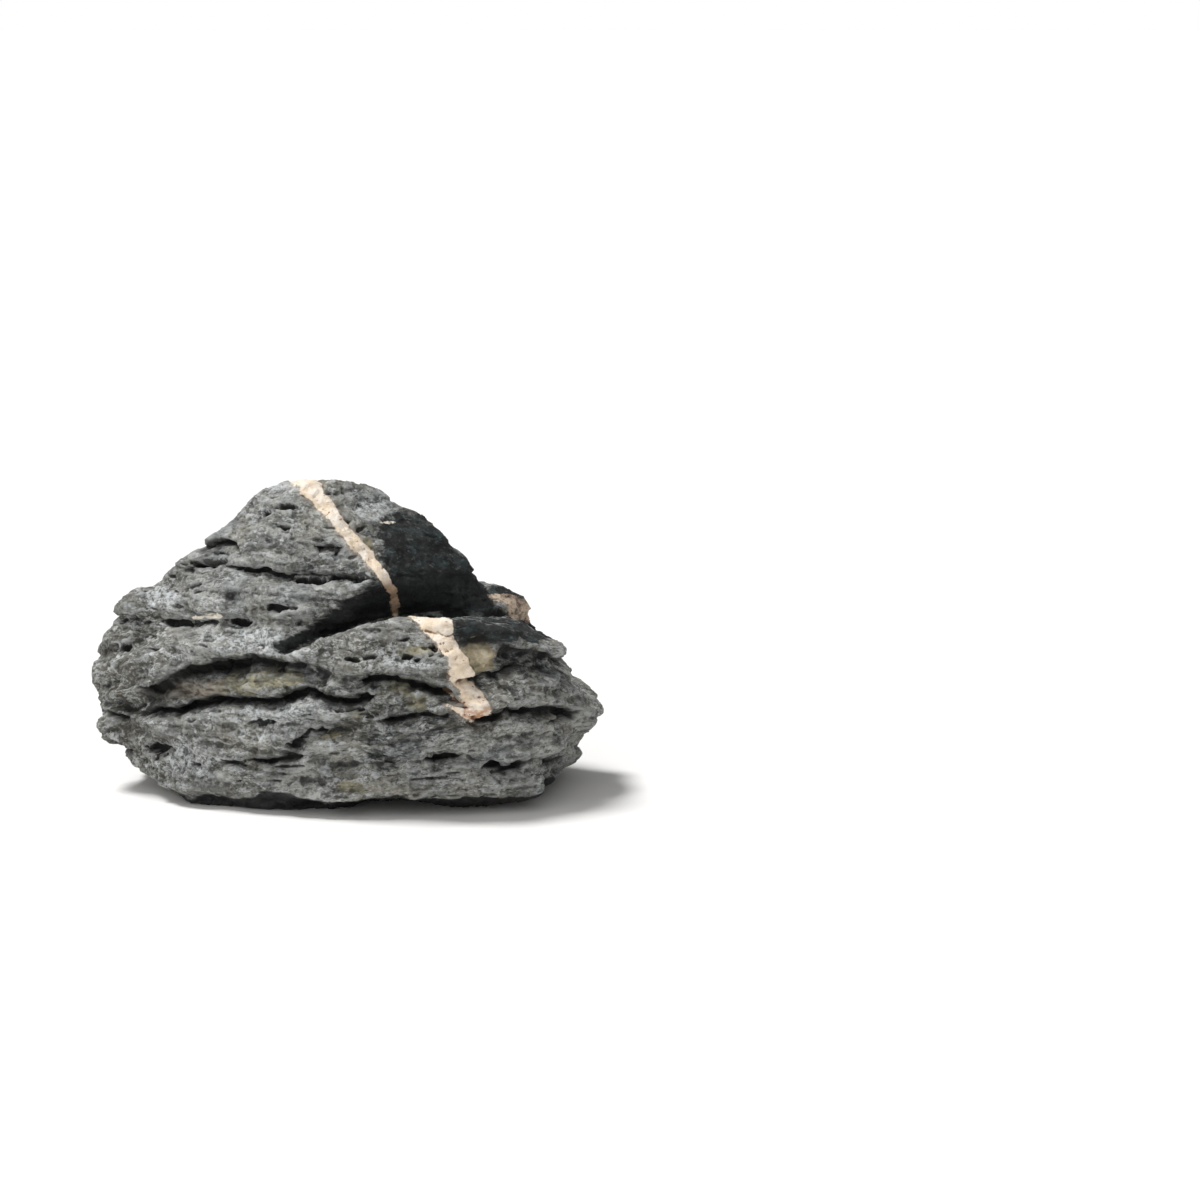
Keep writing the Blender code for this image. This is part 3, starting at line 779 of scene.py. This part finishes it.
def ragged(edge, wander, spread):
    """A mark with a pattern added, as strong as the spread, so that its edge is ragged."""
    centred = {0: wander, 1: spread, 2: -0.5 * spread}
    either_way = add(tree, "Math", centred, operation="MULTIPLY_ADD").outputs[0]
    return add(tree, "Math", {0: edge, 1: either_way}, operation="ADD").outputs[0]


# The rock itself: mottled greys with warm, cool, dusky and pale areas, streaks, flecks and grain; the dusky
# areas are partly painted shade.
colour = lay("#50514d", "#9b9b96", (pattern["mottling"], 0.36, 0.62))
colour = lay(colour, "#7f7a6a", (pattern["warm areas"], 0.5, 0.62), most=0.55)
colour = lay(colour, "#797d7f", (pattern["cool areas"], 0.45, 0.36), most=0.5)
colour = lay(colour, "#545148", (pattern["dusk"], 0.38, 0.6, 0.5, 0.95), most=mark["dusk"])
colour = lay(colour, "#40413e", (pattern["streaks"], 0.5, 0.64), most=0.55)
pale = (pattern["pale areas"], 0.42, 0.58, 0.15, 1.0)
colour = lay(colour, "#bdbfbe", (pattern["pale flecks"], 0.51, 0.63), pale)
colour = lay(colour, "#343532", (pattern["dark flecks"], 0.45, 0.36), most=0.7)
grainy = (pattern["grainy areas"], 0.4, 0.6, 0.15, 0.5)
colour = lay(colour, "#c8c9c6", (pattern["grain"], 0.5, 0.68), grainy)
colour = lay(colour, "#3a3b38", (pattern["grain"], 0.46, 0.3), grainy)

# Wisps of calcite, under a millimetre wide, where a pattern crosses its middle, and frosted places.
WISPS_IN_FROST = 0.15
off_middle = add(tree, "Math", {0: pattern["wisps"], 1: 0.5}, operation="SUBTRACT").outputs[0]
wisp = add(tree, "Math", {0: off_middle}, operation="ABSOLUTE").outputs[0]
frosted = {0: mark["frost"], 1: WISPS_IN_FROST, 2: pattern["wispy areas"]}
wispy = add(tree, "Math", frosted, operation="MULTIPLY_ADD").outputs[0]
colour = lay(colour, "#c4c7c6", (wisp, 0.028, 0.0), (wispy, 0.46, 0.58), most=0.7)
colour = lay(colour, "#cdd1d3", (pattern["frost"], 0.47, 0.57, 0.0, 0.85), most=mark["frost"])
beside_vein = ragged(mark["vein"], pattern["halo edge"], 6.0)
colour = lay(colour, "#a89c8e", (beside_vein, -3.0, 0.0), most=0.45)

# Stains of ochre, which are tan further left, and edges that are rubbed pale.
TAN_FROM, TAN_FULL = -48, -56
ochre_stain = lay("#626050", "#979074", (pattern["stain"], 0.38, 0.62))
tan_stain = lay("#6e675c", "#988e7e", (pattern["stain"], 0.38, 0.62))
stain = lay(ochre_stain, tan_stain, (apart.outputs[0], TAN_FROM * MM, TAN_FULL * MM))
ochre = ragged(mark["ochre"], pattern["stain and shade edge"], 1.0)
colour = lay(colour, stain, (ochre, 0.35, 0.7), most=0.85)
colour = lay(colour, "#b4b8b9", (mark["sunk_near"], -0.08, -0.3), (pattern["rubbed"], 0.4, 0.6, 0.05, 0.4))

# Dark rock and painted shade: almost black, with flecks of a cold grey.
dark_rock_and_shade = lay("#040607", "#2a3638", (pattern["dark rock"], 0.48, 0.68))
dark_rock_and_shade = lay(dark_rock_and_shade, "#6f7a7c", (pattern["dark rock flecks"], 0.56, 0.68), most=0.4)
darkened = ragged(mark["dark_face_and_shade"], pattern["dark rock edge"], 2.4)
colour = lay(colour, dark_rock_and_shade, (darkened, 0.2, 0.8), most=0.95)

# The khaki face of the chip, and crusts of calcite: white on the face, and on the rear ledge a brownish copy
# darkened as painted shade.
SHADED_CRUST_FROM, SHADED_CRUST_FULL = 55, 65
khaki = lay("#94886c", "#bcaf94", (pattern["chip"], 0.4, 0.62))
chip = ragged(mark["chip"], pattern["chip edge"], 0.8)
colour = lay(colour, khaki, (chip, 0.4, 0.62), most=0.9)
white_crust = lay("#cfc4b2", "#f6f0e4", most=pattern["white crust"])
shaded_brown_crust = lay("#d0bda8", "#7a675b", (pattern["brown crust"], 0.44, 0.64))
shaded_brown_crust = lay(shaded_brown_crust, "#65554a", (pattern["brown crust flecks"], 0.5, 0.64), most=0.65)
either_crust = lay(white_crust, shaded_brown_crust, (apart.outputs[0], SHADED_CRUST_FROM * MM, SHADED_CRUST_FULL * MM))
crust = ragged(mark["crust"], pattern["crust edge"], 1.4)
colour = lay(colour, either_crust, (crust, 0.4, 0.6))

# Painted shade: the hollows, the crevices and the recess are darkened where shade falls in them.
colour = lay(colour, "#2e2f2d", (mark["sunk_near"], 0.05, 0.35), most=0.55)
colour = lay(colour, "#191b1c", (mark["sunk_far"], 0.8, 2.8), most=0.85)
# Painted shade along the crevices and pits.
crevice_shade = ragged(mark["crevice"], pattern["stain and shade edge"], 0.9)
colour = lay(colour, "#262624", (crevice_shade, 0.3, 0.9), most=0.8)
# The recess is painted almost black, as painted shade.
recess_shade_colour = lay("#080a0b", "#171b1c", most=pattern["soft spots"])
recess = ragged(mark["recess_shade"], pattern["recess edge"], 1.5)
colour = lay(colour, recess_shade_colour, (recess, 0.3, 0.75), most=0.96)

# Calcite: cream, rusty in spots and at its lower end, with painted shade in brown along its cracks and
# hollows and, darker, in the recess.
RUSTY_FROM, RUSTY_FULL = 56, 46
calcite = lay("#eedcc4", "#f6ecdf", (pattern["calcite"], 0.4, 0.65))
calcite = lay(calcite, "#cdb096", (pattern["calcite tan"], 0.52, 0.68), most=0.4)
calcite = lay(calcite, "#b79f8c", (pattern["calcite specks"], 0.56, 0.7), most=0.3)
calcite = lay(calcite, "#6e5038", (mark["sunk_near"], 0.12, 0.5), most=0.8)
calcite = lay(calcite, "#7c5840", (pattern["rust spots"], 0.66, 0.72), most=0.8)
low_end = (apart.outputs[2], RUSTY_FROM * MM, RUSTY_FULL * MM)
calcite = lay(calcite, "#a86c3e", low_end, (pattern["soft spots"], 0.4, 0.6), most=0.8)
calcite = lay(calcite, "#734b22", (mark["recess_shade"], 0.5, 1.0), most=0.75)
vein = ragged(mark["vein"], pattern["vein edge"], 3.0)
colour = lay(colour, calcite, (vein, -0.4, 0.4))
# Painted shadow along the foot, where the stone meets the floor.
colour = lay(colour, "#121314", (mark["foot"], 0.2, 0.8), most=0.93)
tree.links.new(colour, shader.inputs["Base Color"])

# The skin is dull, with about the index of calcite, and its grains are raised.
DULL, DULLEST = 0.72, 0.92
soft = {"Value": pattern["soft spots"], "From Min": 0.3, "From Max": 0.7, "To Min": DULL, "To Max": DULLEST}
dullness = add(tree, "MapRange", soft, interpolation_type="SMOOTHSTEP").outputs["Result"]
tree.links.new(dullness, shader.inputs["Roughness"])
shader.inputs["IOR"].default_value = 1.5
shader.inputs["Specular IOR Level"].default_value = 0.35
FINE_SHARE = 0.6
GRAIN_HEIGHT = 0.9
both = {0: pattern["fine grains"], 1: FINE_SHARE, 2: pattern["coarse grains"]}
grains = add(tree, "Math", both, operation="MULTIPLY_ADD").outputs[0]
bump = add(tree, "Bump", {"Height": grains, "Strength": 1.0, "Distance": GRAIN_HEIGHT * MM})
tree.links.new(bump.outputs["Normal"], shader.inputs["Normal"])

mesh.materials.clear()
mesh.materials.append(limestone)
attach(stone, "root")
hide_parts("seiryu_stone")


# The floor: a sheet of matt white card, wide enough to fill the frame in every view. The stone lies on it
# loose, on the flat patches of its underside.
FLOOR_HALF = 60.0
shape = bmesh.new()
bmesh.ops.create_grid(shape, x_segments=1, y_segments=1, size=FLOOR_HALF)
floor_mesh = bpy.data.meshes.new("floor")
shape.to_mesh(floor_mesh)
shape.free()
floor = bpy.data.objects.new("floor", floor_mesh)
bpy.context.scene.collection.objects.link(floor)
card = bpy.data.materials.new("matt white card")
card.use_nodes = True
card_shader = card.node_tree.nodes["Principled BSDF"]
card_shader.inputs["Base Color"].default_value = srgb("#f2f1ef")
card_shader.inputs["Roughness"].default_value = 0.9
floor_mesh.materials.append(card)


# Light and camera: a soft light above, a little to the left, a broad weak one from the front left, and a
# white room, which lights the stone weakly and looks white behind it. A long lens looks down by ten
# degrees, with the stone at the left of the frame.
ROOM_LIGHTS, ROOM_SHOWS = 0.2, 1.0
scene = bpy.context.scene
scene.view_settings.view_transform = "Standard"
scene.world = bpy.data.worlds.new("studio")
scene.world.use_nodes = True
room = scene.world.node_tree
seen = add(room, "LightPath", {}).outputs["Is Camera Ray"]
either_strength = {"Value": seen, "To Min": ROOM_LIGHTS, "To Max": ROOM_SHOWS}
strength = add(room, "MapRange", either_strength).outputs["Result"]
room.nodes["Background"].inputs["Color"].default_value = (1, 1, 1, 1)
room.links.new(strength, room.nodes["Background"].inputs["Strength"])


def soft_light(name, towards, power, angle):
    """A distant softbox, as wide as the angle."""
    light = bpy.data.lights.new(name, "SUN")
    light.energy = power
    light.angle = math.radians(angle)
    lamp = bpy.data.objects.new(name, light)
    lamp.rotation_euler = Vector(towards).to_track_quat("Z", "Y").to_euler()
    scene.collection.objects.link(lamp)


soft_light("key", (-0.4, 0.1, 1.0), power=3.0, angle=20)
soft_light("fill", (-0.4, -1.0, 0.6), power=1.1, angle=80)

FRAME_WIDTH = 540 * MM
camera = bpy.data.objects.new("camera", bpy.data.cameras.new("camera"))
camera.data.sensor_width = 36
camera.data.lens = camera.data.sensor_width * CAMERA_AWAY * MM / FRAME_WIDTH
camera.data.clip_start = 0.01
to_camera = Vector((0, -math.cos(VIEW_TILT), math.sin(VIEW_TILT)))
up = Vector((0, math.sin(VIEW_TILT), math.cos(VIEW_TILT)))
frame_middle = Vector((FRAME_CENTRE[0], 0, 0)) + up * FRAME_CENTRE[1] - Vector(CARVING_MIDDLE)
camera.location = (frame_middle + to_camera * CAMERA_AWAY) * MM
camera.rotation_euler = (-to_camera).to_track_quat("-Z", "Y").to_euler()
scene.collection.objects.link(camera)
scene.camera = camera
